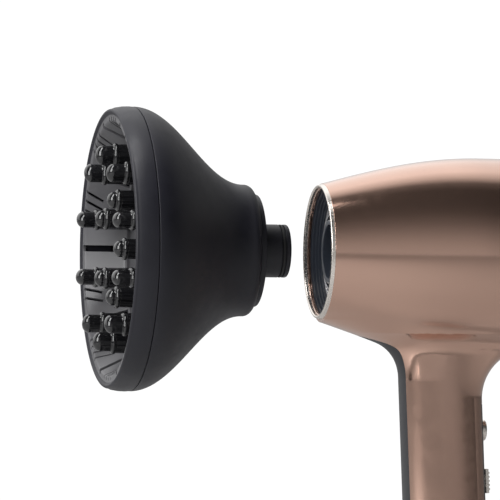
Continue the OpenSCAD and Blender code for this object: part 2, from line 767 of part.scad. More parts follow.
module plug_seal() color(gloss_black) on_diffuser() rotate_extrude() polygon([
    [plug_r - 0.95, seal_z - 0.5], [plug_r, seal_z - 0.5],
    [plug_r, seal_z + 0.5], [plug_r - 0.95, seal_z + 0.5]
]);

// ---------------------------------------------------------------- the object

diffuser_bell();
diffuser_rim();
diffuser_floor();
outer_fingers();
inner_fingers();
diffuser_plug();
plug_seal();
housing_left();
housing_right();
handle_front_strip();
switch_panel();
handle_end_cap();
hang_loop();
cord_gland();
cord_clamp();
clamp_screws();
housing_screws();
nose_ring();
outlet_sleeve();
outlet_grille();
heater_tube();
heater_frame();
heater_coils();
thermostat();
thermal_fuse();
ion_module();
fan_shroud();
motor_can();
motor_end_cap();
motor_magnets();
brushes();
front_bearing();
rear_bearing();
motor_damper();
motor_shaft();
armature();
commutator();
impeller();
rear_ring();
rear_cover();
inlet_filter();
filter_frame();
control_board();
filter_capacitor();
rectifier_diodes();
speed_switch();
heat_switch();
cool_switch();
speed_slider();
heat_slider();
cool_button();
cool_spring();
motor_leads();
heater_leads();
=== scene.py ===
import json
import math

import bmesh
import bpy
import numpy as np
from mathutils import Euler, Matrix, Vector


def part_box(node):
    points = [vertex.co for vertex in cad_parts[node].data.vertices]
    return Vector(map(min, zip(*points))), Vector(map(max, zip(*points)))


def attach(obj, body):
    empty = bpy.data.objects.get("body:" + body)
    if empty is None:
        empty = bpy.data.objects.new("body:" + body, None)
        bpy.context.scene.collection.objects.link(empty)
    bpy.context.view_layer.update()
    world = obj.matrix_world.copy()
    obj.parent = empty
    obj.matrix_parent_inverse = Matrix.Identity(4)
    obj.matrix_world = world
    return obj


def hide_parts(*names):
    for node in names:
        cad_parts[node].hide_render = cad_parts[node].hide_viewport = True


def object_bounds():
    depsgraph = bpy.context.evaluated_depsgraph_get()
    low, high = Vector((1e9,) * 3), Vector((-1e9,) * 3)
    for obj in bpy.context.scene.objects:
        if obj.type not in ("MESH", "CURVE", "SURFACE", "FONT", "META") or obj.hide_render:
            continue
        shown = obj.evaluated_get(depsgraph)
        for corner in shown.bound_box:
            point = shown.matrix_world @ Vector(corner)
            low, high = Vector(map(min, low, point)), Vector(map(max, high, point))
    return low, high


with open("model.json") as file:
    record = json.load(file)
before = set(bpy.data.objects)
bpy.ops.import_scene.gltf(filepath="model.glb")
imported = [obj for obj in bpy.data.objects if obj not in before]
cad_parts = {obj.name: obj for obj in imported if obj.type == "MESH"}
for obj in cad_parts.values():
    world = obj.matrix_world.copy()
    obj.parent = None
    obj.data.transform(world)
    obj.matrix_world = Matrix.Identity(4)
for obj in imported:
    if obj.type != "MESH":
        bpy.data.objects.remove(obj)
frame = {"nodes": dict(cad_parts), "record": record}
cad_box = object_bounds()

# A hair dryer with its bell diffuser pulled off the nose. The frame's origin is the centre of the
# air outlet, -X points out of the nose, and the handle hangs along -Z. Sizes are in millimetres,
# apart from the studio's, which are in metres.

MM = 0.001

# ---------------------------------------------------------------- driving dimensions

# Barrel: radii, and distances from the nose
NOSE_R = 33.0
BELLY_R = 47.0
BELLY_X = 80.0
REAR_R = 43.6
BARREL_LEN = 152.0
RING_LEN = 2.0
WALL = 2.4

# Handle, its strip and its switch panel: heights are below the barrel's axis
HANDLE_X = 42.5
HANDLE_DEPTH = 41.0
HANDLE_W = 35.0
HANDLE_Z = -188.0
RAKE = 0.05
ROOT_R = 20.0
BACK_R = 24.0
SIDE_R = 12.0
KEEL_SLOPE = 0.392
STRIP_W = 16.0
STRIP_TOP = -49.5
PANEL_W = 18.0
PANEL_TOP = -74.0
PANEL_LOW = -152.0
SEAM = 0.12                # gap round the strip and the panel
HALVES_GAP = 0.04          # from the middle plane to each housing half
SPEED_Z = -138.0
HEAT_Z = -112.0
COOL_Z = -87.0
SLIDER_SLOT = (3.1, 3.4, 9.4)                # half width, and reach below and above a slider's place
BUTTON_HOLE_R = 5.5
SCREW_WELLS = ((53, -84), (56, -160))        # (x, z) on the right side
WELL_R = 3
WELL_Y = 12

# Outlet: places are distances behind the nose, and a sleeve step is (radius, start, end)
OUTLET_R = 31.5
SLEEVE_R = 31.75
SLEEVE_OUTER_R = 33.3
SLEEVE_STEPS = ((31.5, 2, 4.4), (30.4, 4.4, 5.9), (29.6, 5.9, 7.2), (28.9, 7.2, 8.4), (28.2, 8.4, 17))
SLEEVE_END = 22
HUB_X = 5.6
HUB_R = 15.7
HUB_END = 22.2
HUB_FLOOR = 1.6
SOCKET_R = 13.2
GRILLE_BANDS = ((18.6, 6.6), (21.7, 7.4), (24.8, 8.2))       # (radius, front edge)
GRILLE_RIM = (27, 28.05)
SPOKES = 16
SPOKE_X = 9
SPOKE_HALF = 0.45

# Diffuser: heights are above the collar, and a finger's own above the floor
BELL_R = 69.9
WAIST_R = 32.4
COLLAR_R = 27.6
BELL_H = 62.5
BELL_FOOT = 7.0
RIM_TOP = 74.3
RIM_LIP = 1.2
LAND_R = 62.6
WALL_FOOT_R = 53.3
SLOT_END_R = 64.9
FLOOR_TOP = 52.5
PLUG_R = 13.05
PLUG_BORE_R = 11.2
PLUG_LEN = 15.5
SEAL_Z = -12.0
FINGERS = 10
OUTER_RING_R = 45.7
OUTER_HEIGHT = 28.5
OUTER_TIP_R = 4.75
OUTER_FLAT = 0.81          # an outer finger's width over its depth
INNER_RING_R = 25.0
INNER_HEIGHT = 24.0
INNER_TIP_R = 4.05
BEAD_Z = 18.5
BEAD_R = 1.3
DOME_H = 3.2
WIDE_SLOT = 3.1
NARROW_SLOT = 1.3
NARROW_SLOTS = 4
NARROW_PITCH = 4.4
NARROW_SLANT = 22
NARROW_LOW = RIM_TOP - 9.4
OUTER_HOLES_R = 36
INNER_HOLES_R = 13
HOLE_R = 1.8

SECTOR = 360 / FINGERS
COLLAR_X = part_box("diffuser_bell")[1].x / MM        # plane of the collar's rear face

# ---------------------------------------------------------------- materials


NOISE_SPAN = (0.3, 0.7)    # the part of a noise's range that it mostly fills


class Look:
    """A procedural material: its node tree, with short calls for the nodes that it needs."""

    def __init__(self, name, **sockets):
        self.material = bpy.data.materials.new(name)
        self.material.use_nodes = True
        self.tree = self.material.node_tree
        self.shader = self.tree.nodes["Principled BSDF"]
        self.coords = self.node("ShaderNodeTexCoord").outputs["Object"]
        for socket, value in sockets.items():
            self.shader.inputs[socket.replace("_", " ")].default_value = value

    def node(self, kind, inputs=(), **settings):
        made = self.tree.nodes.new(kind)
        for key, value in settings.items():
            setattr(made, key, value)
        for key, value in dict(inputs).items():
            if isinstance(value, bpy.types.NodeSocket):
                self.tree.links.new(value, made.inputs[key])
            else:
                made.inputs[key].default_value = value
        return made

    def noise(self, scale, detail=4, stretch=(1, 1, 1), roughness=0.5):
        where = self.node("ShaderNodeMapping", {"Vector": self.coords, "Scale": stretch})
        made = self.node("ShaderNodeTexNoise", {
            "Vector": where.outputs[0], "Scale": scale, "Detail": detail, "Roughness": roughness})
        return made.outputs["Fac"]

    def spread(self, value, low, high):
        """A noise's value, moved to run from low to high."""
        made = self.node("ShaderNodeMapRange", {
            0: value, 1: NOISE_SPAN[0], 2: NOISE_SPAN[1], 3: low, 4: high})
        return made.outputs[0]

    def mix(self, factor, a, b):
        made = self.node("ShaderNodeMix", {0: factor, 6: a, 7: b}, data_type="RGBA")
        return made.outputs[2]

    def rounded(self, radius):
        """The surface's direction, with its edges rounded to a radius in millimetres."""
        return self.node("ShaderNodeBevel", {"Radius": radius * MM}, samples=4).outputs[0]

    def edge(self, radius):
        """1 on the sharp edges of the shape and 0 on its faces."""
        low, high = 0.02, 0.25
        round_normal = self.rounded(radius)
        plain = self.node("ShaderNodeNewGeometry").outputs["Normal"]
        dot = self.node("ShaderNodeVectorMath", {0: round_normal, 1: plain}, operation="DOT_PRODUCT")
        return self.node("ShaderNodeMapRange", {
            0: dot.outputs["Value"], 1: 1 - low, 2: 1 - high, 3: 0.0, 4: 1.0}).outputs[0]

    def bump(self, height, depth, radius):
        """Relief of a depth in millimetres, over edges rounded to radius."""
        made = self.node("ShaderNodeBump", {
            "Height": height, "Distance": depth * MM, "Strength": 1.0, "Normal": self.rounded(radius)})
        self.link("Normal", made.outputs[0])

    def link(self, socket, value):
        self.tree.links.new(value, self.shader.inputs[socket])


def moulded(name, color, rough, grain=0.012, grain_scale=2600, edge=0.25, dust=1.25, **sockets):
    """Moulded plastic or rubber: fine spark-eroded grain, soft colour drift and slightly rubbed edges.
    grain is its depth and edge the width of a rubbed edge, in millimetres. dust is how far it lightens."""
    look = Look(name, **sockets)
    drift = look.noise(45, 3)
    lighter = tuple(min(1.0, c * dust + 0.002) for c in color)
    body = look.mix(look.spread(drift, 0, 1), (*color, 1), (*lighter, 1))
    worn = look.edge(edge)
    rubbed = tuple(min(1.0, c * 1.7 + 0.008) for c in color)
    look.link("Base Color", look.mix(worn, body, (*rubbed, 1)))
    smudge = look.noise(90, 5, roughness=0.65)
    look.link("Roughness", look.spread(smudge, max(0.04, rough - 0.05), rough + 0.05))
    look.bump(look.noise(grain_scale, 2), grain, edge)
    return look.material


def metal(name, color, rough, brush=(1, 1, 1), depth=0.002):
    """Polished or brushed metal: fine scratches along one direction and a brighter rubbed edge."""
    edge = 0.15
    look = Look(name, Metallic=1.0)
    drift = look.noise(60, 4)
    darker = tuple(c * 0.86 for c in color)
    body = look.mix(look.spread(drift, 0, 1), (*color, 1), (*darker, 1))
    bright = tuple(min(1.0, c * 1.12) for c in color)
    look.link("Base Color", look.mix(look.edge(edge), body, (*bright, 1)))
    scratches = look.noise(900, 3, brush)
    look.link("Roughness", look.spread(scratches, rough * 0.8, rough * 1.3))
    look.bump(scratches, depth, edge)
    return look.material


def lacquer(name, color, deep, rough):
    """Metallic lacquer under clear coat: tiny flakes, a slow drift of tone and a trace of orange peel."""
    look = Look(name, Metallic=0.92, Coat_Weight=0.5, Coat_Roughness=0.06, Coat_IOR=1.5)
    flake = look.noise(5200, 1)
    drift = look.noise(18, 2)
    tone = look.mix(look.spread(drift, 0.0, 0.3), (*color, 1), (*deep, 1))
    glint = tuple(min(1.0, c * 1.18 + 0.01) for c in color)
    tone = look.mix(look.spread(flake, 0.0, 0.45), tone, (*glint, 1))
    pale = tuple(min(1.0, c * 1.25 + 0.05) for c in color)
    look.link("Base Color", look.mix(look.edge(0.3), tone, (*pale, 1)))
    haze = look.noise(140, 5, roughness=0.6)
    look.link("Roughness", look.spread(haze, rough - 0.03, rough + 0.04))
    look.bump(look.noise(420, 1), 0.0012, 0.3)
    return look.material


def layered(name, color, streak, rough):
    """Mica board: flaky streaks of two tones."""
    look = Look(name)
    flakes = look.noise(260, 5, (1, 1, 3), 0.7)
    look.link("Base Color", look.mix(look.spread(flakes, 0, 1), (*color, 1), (*streak, 1)))
    look.link("Roughness", look.spread(look.noise(400, 3), rough - 0.1, rough + 0.15))
    look.bump(flakes, 0.03, 0.1)
    return look.material


LOOKS = {
    "soft_black": moulded("soft_black", (0.0100, 0.0100, 0.0155), 0.46, grain=0.005, grain_scale=5200,
                          Specular_IOR_Level=0.42),
    "satin_grey": moulded("satin_grey", (0.085, 0.084, 0.090), 0.36, grain=0.004, grain_scale=4200),
    "gloss_black": moulded("gloss_black", (0.006, 0.006, 0.007), 0.09, grain=0.0006, grain_scale=600,
                           edge=0.12, Coat_Weight=0.5, Coat_Roughness=0.04),
    "seal_rubber": moulded("seal_rubber", (0.012, 0.012, 0.013), 0.62, grain=0.01),
    "bronze": lacquer("bronze", (0.63, 0.405, 0.315), (0.49, 0.30, 0.24), 0.12),
    "charcoal": moulded("charcoal", (0.030, 0.030, 0.034), 0.44, grain=0.012, grain_scale=3400),
    "champagne_chrome": metal("champagne_chrome", (0.90, 0.84, 0.78), 0.25, depth=0.0001),
    "slate": moulded("slate", (0.036, 0.044, 0.060), 0.36, grain=0.006, grain_scale=3600),
    "black_rubber": moulded("black_rubber", (0.014, 0.014, 0.015), 0.60, grain=0.014),
    "mica": layered("mica", (0.55, 0.47, 0.33), (0.70, 0.62, 0.46), 0.45),
    "nichrome": metal("nichrome", (0.36, 0.31, 0.28), 0.42, depth=0.01),
    "steel": metal("steel", (0.60, 0.60, 0.62), 0.28, (1, 8, 8), depth=0.003),
    "natural_plastic": moulded("natural_plastic", (0.66, 0.63, 0.55), 0.45, dust=1.06),
    "inner_black": moulded("inner_black", (0.018, 0.018, 0.020), 0.42),
    "ferrite": moulded("ferrite", (0.05, 0.05, 0.052), 0.62, grain=0.03, grain_scale=1800),
    "bronze_bush": metal("bronze_bush", (0.50, 0.34, 0.17), 0.38, depth=0.012),
    "copper": metal("copper", (0.66, 0.28, 0.14), 0.32, (12, 1, 1), depth=0.03),
    "filter_mesh": metal("filter_mesh", (0.30, 0.30, 0.31), 0.38, depth=0.004),
    "board": moulded("board", (0.035, 0.16, 0.07), 0.35, grain=0.02, grain_scale=500),
    "capacitor": moulded("capacitor", (0.50, 0.30, 0.04), 0.25),
    "red_lead": moulded("red_lead", (0.40, 0.03, 0.025), 0.40),
    "white_lead": moulded("white_lead", (0.66, 0.64, 0.58), 0.40, dust=1.05),
}

# ---------------------------------------------------------------- mesh helpers


def arc(center, radius, start, end, steps):
    """Points along an arc, angles in degrees."""
    angles = [math.radians(start + (end - start) * i / steps) for i in range(steps + 1)]
    return [(center[0] + radius * math.cos(a), center[1] + radius * math.sin(a)) for a in angles]


def eased(outline, radius, steps=3):
    """The closed outline with its corners rounded to radius, apart from slight ones and those on the axis."""
    slight = math.radians(20)
    points = [Vector(p) for p in outline]
    result = []
    for i, corner in enumerate(points):
        before = points[i - 1] - corner
        after = points[(i + 1) % len(points)] - corner
        turn = math.pi - before.angle(after)
        if turn < slight or corner[1] < 1e-6:
            result.append(tuple(corner))
            continue
        cut = min(radius * math.tan(turn / 2), 0.45 * before.length, 0.45 * after.length)
        start = corner + before.normalized() * cut
        end = corner + after.normalized() * cut
        for k in range(steps + 1):
            t = k / steps
            result.append(tuple((1 - t) ** 2 * start + 2 * t * (1 - t) * corner + t * t * end))
    return result


def lathe(outline, segments=192, center=(0.0, 0.0)):
    """A bmesh: the closed outline of (x, radius) points, turned about the X line through center (y, z)."""
    shape = bmesh.new()
    rings = []
    for x, radius in outline:
        if radius < 1e-6:
            rings.append([shape.verts.new((x * MM, center[0] * MM, center[1] * MM))] * segments)
            continue
        rings.append([
            shape.verts.new((
                x * MM,
                (center[0] + radius * math.sin(2 * math.pi * i / segments)) * MM,
                (center[1] + radius * math.cos(2 * math.pi * i / segments)) * MM,
            ))
            for i in range(segments)
        ])
    for k, ring in enumerate(rings):
        following = rings[(k + 1) % len(rings)]
        for i in range(segments):
            j = (i + 1) % segments
            corners = []
            for vertex in (ring[i], ring[j], following[j], following[i]):
                if vertex not in corners:
                    corners.append(vertex)
            if len(corners) > 2:
                shape.faces.new(corners)
    bmesh.ops.recalc_face_normals(shape, faces=shape.faces)
    return shape


def block(low, high, bevel=0.0):
    """A bmesh: a box between two corners, with its edges rounded."""
    shape = bmesh.new()
    bmesh.ops.create_cube(shape, size=1)
    for vertex in shape.verts:
        for axis in range(3):
            vertex.co[axis] = (low[axis] if vertex.co[axis] < 0 else high[axis]) * MM
    if bevel:
        bmesh.ops.bevel(shape, geom=shape.edges[:], offset=bevel * MM, segments=3, affect="EDGES",
                        profile=0.5, clamp_overlap=True)
    return shape


def turned(shape, degrees, axis="X"):
    """The same bmesh, turned about an axis through the origin."""
    bmesh.ops.rotate(shape, verts=shape.verts, cent=(0, 0, 0),
                     matrix=Matrix.Rotation(math.radians(degrees), 3, axis))
    return shape


def moved(shape, x=0, z=0):
    """The same bmesh, moved."""
    bmesh.ops.translate(shape, verts=shape.verts, vec=(x * MM, 0, z * MM))
    return shape


def prism(outline, start, end):
    """A bmesh: the flat outline of (y, z) points, carried along X from start to end."""
    shape = bmesh.new()
    face = shape.faces.new([shape.verts.new((start * MM, y * MM, z * MM)) for y, z in outline])
    lifted = bmesh.ops.extrude_face_region(shape, geom=[face])
    for vertex in lifted["geom"]:
        if isinstance(vertex, bmesh.types.BMVert):
            vertex.co.x = end * MM
    bmesh.ops.recalc_face_normals(shape, faces=shape.faces)
    return shape


def joined(shapes):
    """One bmesh that holds all of them."""
    whole = bmesh.new()
    for shape in shapes:
        carrier = bpy.data.meshes.new("carrier")
        shape.to_mesh(carrier)
        shape.free()
        whole.from_mesh(carrier)
        bpy.data.meshes.remove(carrier)
    return whole


def plain_object(shape, name="tool"):
    """A mesh object made from a bmesh, in the scene but not a piece yet."""
    mesh = bpy.data.meshes.new(name)
    shape.to_mesh(mesh)
    shape.free()
    made = bpy.data.objects.new(name, mesh)
    bpy.context.scene.collection.objects.link(made)
    return made


def settle(obj):
    """Applies the object's modifiers."""
    bpy.context.view_layer.update()
    graph = bpy.context.evaluated_depsgraph_get()
    mesh = bpy.data.meshes.new_from_object(obj.evaluated_get(graph))
    old = obj.data
    obj.modifiers.clear()
    obj.data = mesh
    bpy.data.meshes.remove(old)


def combined(obj, tool, operation):
    """obj cut by or limited to the tool's shape. The tool goes."""
    modifier = obj.modifiers.new("combine", "BOOLEAN")
    modifier.operation = operation
    modifier.solver = "MANIFOLD"
    modifier.object = tool
    settle(obj)
    bpy.data.objects.remove(tool)
    return obj


def piece(name, shape, body, slot, replaces, angle=32, weighted=True):
    """Makes a visible piece from a bmesh or an object: smooth but for edges sharper than angle degrees,
    with its material, riding on its body in place of its CAD nodes."""
    made = shape if isinstance(shape, bpy.types.Object) else plain_object(shape, name)
    made.name = name
    made.data.name = name
    made.data.shade_smooth()
    made.data.set_sharp_from_angle(angle=math.radians(angle))
    if weighted:
        modifier = made.modifiers.new("normals", "WEIGHTED_NORMAL")
        modifier.keep_sharp = True
    made.data.materials.clear()
    made.data.materials.append(LOOKS[slot])
    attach(made, body)
    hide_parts(*replaces)
    return made


# ---------------------------------------------------------------- diffuser


def on_diffuser(outline):
    """Outline points of (height above the collar, radius) in the dryer's frame."""
    return [(COLLAR_X - height, radius) for height, radius in outline]


def bell_radius(height):
    """The bell's outer radius: half a cosine wave from the waist to the rim."""
    share = (height - BELL_FOOT) / (BELL_H - BELL_FOOT)
    return WAIST_R + (BELL_R - WAIST_R) * (1 - math.cos(math.pi * share)) / 2


def make_bell():
    steps = 72
    skin = 2
    heights = [BELL_FOOT + (BELL_H - BELL_FOOT) * i / steps for i in range(steps + 1)]
    outer = [(0, COLLAR_R - 0.5)] + arc((0.5, COLLAR_R - 0.5), 0.5, 180, 90, 4)[1:]
    outer += [(2.5, COLLAR_R)] + arc((6.7, WAIST_R - 4), 4, 180, 90, 14)
    outer += [(h, bell_radius(h)) for h in heights[1:-1]]
    outer += arc((BELL_H - 0.35, BELL_R - 0.35), 0.35, 90, 0, 4)
    inner = [(h, bell_radius(h + 0.8) - skin) for h in heights[-2:3:-2]]
    inner += [(BELL_FOOT, WAIST_R - 2.2), (5.4, WAIST_R - 2.2), (4.4, COLLAR_R - skin),
              (0, COLLAR_R - skin)]
    outline = outer + [(BELL_H, BELL_R - skin)] + inner
    bell = lathe(on_diffuser(outline), 256)
    piece("diffuser_bell_shell", bell, "diffuser", "soft_black", ["diffuser_bell"])


def slot_tool(angle, width, low_radius, low, slant):
    """A cutter for one slot of the rim: a block with a round outer end, leaning round the rim by slant."""
    reach, pivot = 30, 4
    half = width / 2
    end = SLOT_END_R - half
    outline = [(-half, low_radius), (-half, end)]
    outline += [(half * math.sin(a), end + half * math.cos(a))
                for a in [math.pi * (k / 8 - 0.5) for k in range(1, 8)]]
    outline += [(half, end), (half, low_radius)]
    shape = moved(prism(outline, -low, -low - reach), x=low + pivot)
    return turned(moved(turned(shape, slant, "Z"), x=COLLAR_X - low - pivot), -angle)


def rim_outline():
    """The rim's section: the outer band, its lip, the sloping wall down to the floor, and the back."""
    outline = [(BELL_H + 0.25, BELL_R - 0.3), (BELL_H + 0.5, BELL_R - 0.05)]
    outline += [(BELL_H + 2.5, BELL_R + 0.1), (BELL_H + 5.5, BELL_R), (BELL_H + 8.6, BELL_R - 0.5),
                (RIM_TOP - 1.9, BELL_R - 1.08)]
    outline += [(RIM_TOP - RIM_LIP + RIM_LIP * math.sin(math.radians(a)),
                 BELL_R - 2 * RIM_LIP + RIM_LIP * math.cos(math.radians(a))) for a in range(0, 151, 15)]
    outline += [(RIM_TOP - 1.1, SLOT_END_R + 0.9), (RIM_TOP - 1.15, LAND_R + 0.9)]
    outline += [(RIM_TOP - 1.25, LAND_R + 0.35), (RIM_TOP - 1.6, LAND_R), (RIM_TOP - 2.2, LAND_R - 0.35)]
    outline += [(FLOOR_TOP + 2.9, WALL_FOOT_R + 0.15), (FLOOR_TOP + 2.1, WALL_FOOT_R - 0.35),
                (FLOOR_TOP + 1.6, WALL_FOOT_R - 0.9), (FLOOR_TOP + 1.5, WALL_FOOT_R - 1.4)]
    outline += [(FLOOR_TOP + 0.05, WALL_FOOT_R - 1.4), (FLOOR_TOP + 0.05, WALL_FOOT_R + 1.1),
                (FLOOR_TOP + 2, WALL_FOOT_R + 1.3), (RIM_TOP - 2.4, LAND_R + 1.2),
                (RIM_TOP - 2.5, BELL_R - 3.9)]
    outline += [(BELL_H - 3.7, BELL_R - 3.9), (BELL_H - 3.7, BELL_R - 2.5), (BELL_H + 0.25, BELL_R - 2.5)]
    return outline


def make_rim():
    rim = plain_object(lathe(on_diffuser(rim_outline()), 360), "rim")
    tools = [slot_tool(SECTOR * (i + 0.5), WIDE_SLOT, WALL_FOOT_R - 0.6, FLOOR_TOP + 1.9, 0)
             for i in range(FINGERS)]
    middle = (NARROW_SLOTS - 1) / 2
    tools += [slot_tool(SECTOR * i + NARROW_PITCH * (j - middle), NARROW_SLOT, WALL_FOOT_R + 1, NARROW_LOW,
                        NARROW_SLANT)
              for i in range(FINGERS) for j in range(NARROW_SLOTS)]
    combined(rim, plain_object(joined(tools)), "DIFFERENCE")
    piece("diffuser_rim_band", rim, "diffuser", "soft_black", ["diffuser_rim"], angle=38)
    second_look(rim, "satin_grey", lambda face: radius_of(face) < BELL_R - 4)


def radius_of(face):
    """A face's distance from the barrel's axis, in millimetres."""
    return math.hypot(face.center.y, face.center.z) / MM


def second_look(obj, slot, chosen):
    """Gives the chosen faces a second material."""
    obj.data.materials.append(LOOKS[slot])
    for face in obj.data.polygons:
        if chosen(face):
            face.material_index = 1


def make_floor():
    edge = WALL_FOOT_R + 1.9
    outline = [(FLOOR_TOP - 2, 0), (FLOOR_TOP - 2, edge), (FLOOR_TOP, edge), (FLOOR_TOP, 0)]
    floor = plain_object(lathe(on_diffuser(outline), 192), "floor")
    tools = [air_hole(SECTOR * (i + 0.5), OUTER_HOLES_R) for i in range(FINGERS)]
    tools += [air_hole(2 * SECTOR * i + 90, INNER_HOLES_R) for i in range(FINGERS // 2)]
    combined(floor, plain_object(joined(tools)), "DIFFERENCE")
    piece("diffuser_floor_plate", floor, "diffuser", "satin_grey", ["diffuser_floor"])


def air_hole(angle, ring_radius):
    """A cutter for one hole of the floor, with a flared mouth."""
    flare = 0.4
    outline = [(FLOOR_TOP - 3, 0), (FLOOR_TOP - 3, HOLE_R), (FLOOR_TOP - flare, HOLE_R),
               (FLOOR_TOP + flare, HOLE_R + 2 * flare), (FLOOR_TOP + flare, 0)]
    return turned(lathe(on_diffuser(outline), 32, (0.0, ring_radius)), -angle)


def finger(height, tip_radius, ring_radius, flat):
    """One finger at the top of its ring: an oval pin with a bead part way up and a domed tip."""
    r = tip_radius
    outline = [(-1.9, 0), (-1.9, 2.4), (0, 2.4), (0, r + 1)]
    outline += [(0.4 - 0.4 * math.cos(math.radians(a)), r + 1 + 0.2 * math.sin(math.radians(a)))
                for a in (30, 60, 90)]
    outline += [(1.2, r + 1.14), (2.6, r + 1.05), (10, r + 0.95), (BEAD_Z - 1.6, r + 0.82)]
    outline += [(BEAD_Z - BEAD_R * math.cos(math.radians(a)), r + 0.15 + BEAD_R * math.sin(math.radians(a)))
                for a in range(26, 181, 14)]
    outline += [(BEAD_Z + 1.5, r + 0.06), (BEAD_Z + 1.9, r - 0.03)]
    outline += [(height - DOME_H + DOME_H * math.sin(math.radians(a)), r * math.cos(math.radians(a)))
                for a in range(0, 90, 6)]
    outline.append((height, 0))
    shape = lathe([(COLLAR_X - FLOOR_TOP - x, radius) for x, radius in outline], 64)
    for vertex in shape.verts:
        vertex.co.y *= flat
    return moved(shape, z=ring_radius)


def make_fingers():
    outer = [turned(finger(OUTER_HEIGHT, OUTER_TIP_R, OUTER_RING_R, OUTER_FLAT), -SECTOR * i)
             for i in range(FINGERS)]
    inner = [turned(finger(INNER_HEIGHT, INNER_TIP_R, INNER_RING_R, 1), 90 - 2 * SECTOR * i)
             for i in range(FINGERS // 2)]
    piece("outer_ring_of_fingers", joined(outer), "diffuser", "gloss_black", ["outer_fingers"])
    piece("inner_ring_of_fingers", joined(inner), "diffuser", "gloss_black", ["inner_fingers"])


def make_plug():
    root = 4
    groove_r = PLUG_R - 1
    tube = [(-PLUG_LEN, PLUG_BORE_R), (-PLUG_LEN, PLUG_R - 1)]
    tube += arc((-PLUG_LEN + 1, PLUG_R - 1), 1, 180, 90, 5)[1:]
    low, high = SEAL_Z - 1.2, SEAL_Z + 1.2
    tube += [(low, PLUG_R), (low, groove_r), (high, groove_r), (high, PLUG_R), (root, PLUG_R),
             (root, PLUG_BORE_R)]
    shapes = [lathe(on_diffuser(eased(tube, 0.2)), 128)]
    ring = [(0.4, COLLAR_R - 3.4), (0.4, COLLAR_R - 2.05), (root, COLLAR_R - 2.05), (root, COLLAR_R - 3.4)]
    shapes.append(lathe(on_diffuser(eased(ring, 0.3)), 128))
    for i in range(4):
        spoke = block((COLLAR_X - root, -1, 12.2), (COLLAR_X - 0.4, 1, COLLAR_R - 2.8), 0.35)
        shapes.append(turned(spoke, 90 * i))
    piece("diffuser_plug_spigot", joined(shapes), "diffuser", "soft_black", ["diffuser_plug"])
    low, high, foot = SEAL_Z - 0.5, SEAL_Z + 0.5, PLUG_R - 0.95
    ring = lathe(on_diffuser(eased([(low, foot), (low, PLUG_R), (high, PLUG_R), (high, foot)], 0.25)), 128)
    piece("plug_seal_ring", ring, "diffuser", "seal_rubber", ["plug_seal"])


# ---------------------------------------------------------------- outlet


def make_nose_ring():
    lip = 0.75
    ring = [(RING_LEN, OUTLET_R), (0.7, OUTLET_R)]
    ring += [(lip - lip * math.sin(math.radians(a)), OUTLET_R + lip - lip * math.cos(math.radians(a)))
             for a in range(15, 181, 15)]
    ring += [(RING_LEN, NOSE_R + 0.35)]
    piece("nose_trim_ring", lathe(ring, 256), "housing", "champagne_chrome", ["nose_ring"])


def make_sleeve():
    flange = 12
    sleeve = [(flange, SLEEVE_R), (RING_LEN, SLEEVE_R)]
    for radius, start, end in SLEEVE_STEPS:
        sleeve += [(start, radius), (end, radius)]
    sleeve += [(SLEEVE_STEPS[-1][2], 31.7), (SLEEVE_END, 31.7), (SLEEVE_END, SLEEVE_OUTER_R),
               (flange, SLEEVE_OUTER_R)]
    piece("outlet_stepped_sleeve", lathe(eased(sleeve, 0.22), 256), "housing", "slate", ["outlet_sleeve"])


def grille_band(inner, outer, start, length, rounding):
    """A ring between two radii, with rounded edges."""
    outline = [(start, inner), (start, outer), (start + length, outer), (start + length, inner)]
    return lathe(eased(outline, rounding), 128)


def make_grille():
    floor = HUB_END - HUB_FLOOR
    hub = [(HUB_X, SOCKET_R), (HUB_X, HUB_R), (HUB_END, HUB_R), (HUB_END, 0), (floor, 0), (floor, SOCKET_R)]
    shapes = [lathe(eased(hub, 0.5, 4), 128)]
    shapes += [grille_band(radius - 0.5, radius + 0.5, start, 4, 0.35) for radius, start in GRILLE_BANDS]
    shapes.append(grille_band(*GRILLE_RIM, SPOKE_X, 6, 0.3))
    low, high = (SPOKE_X, -SPOKE_HALF, HUB_R - 0.6), (SPOKE_X + 3.4, SPOKE_HALF, 27.6)
    shapes += [turned(block(low, high, 0.3), 360 * i / SPOKES) for i in range(SPOKES)]
    wheel = piece("outlet_grille_wheel", joined(shapes), "housing", "slate", ["outlet_grille"])
    # Painted highlight: the faces that look out of the nose take bright steel instead of the wheel's slate
    # plastic. The steel stands in for the light lines along the edges of the rings and spokes.
    second_look(wheel, "steel", lambda face: face.normal.x < -0.6 and radius_of(face) > HUB_R - 1)


# ---------------------------------------------------------------- housing surface

KEEL_ANGLE = math.atan(KEEL_SLOPE)
KEEL_X = HANDLE_X - ROOT_R + ROOT_R * math.sin(KEEL_ANGLE)
KEEL_Z = -(NOSE_R + 0.2) - KEEL_SLOPE * (KEEL_X - 1.5)
ROOT_Z = KEEL_Z - ROOT_R * math.cos(KEEL_ANGLE)
BACK_X = HANDLE_X + HANDLE_DEPTH
BACK_Z = -(BELLY_R + BACK_R)
SIDE_Y = HANDLE_W / 2 + SIDE_R
SIDE_Z = -math.sqrt((BELLY_R - 1 + SIDE_R) ** 2 - SIDE_Y ** 2)
SIDE_TOP = SIDE_Z * (BELLY_R - 1) / (BELLY_R - 1 + SIDE_R)
HANDLE_TOP = -(NOSE_R + 0.2)
TAPER = 1.2 / 130
BOX_POWER = 2.5            # exponent of the handle's outline: 2 is an ellipse, more is squarer
NOSE_SLOPE = 0.27          # slope of the barrel's outline at the nose
BLEND = 5.0                # how far the barrel and the handle run into each other


def barrel_radius(x):
    """The barrel's outer radius: a sine from the nose to the belly, then a parabola to the rear."""
    front = NOSE_R + (BELLY_R - NOSE_R) * np.sin(math.pi / 2 * np.minimum(x, BELLY_X) / BELLY_X)
    rear = BELLY_R - (BELLY_R - REAR_R) * ((x - BELLY_X) / (BARREL_LEN - BELLY_X)) ** 2
    return np.where(x < BELLY_X, front, rear)


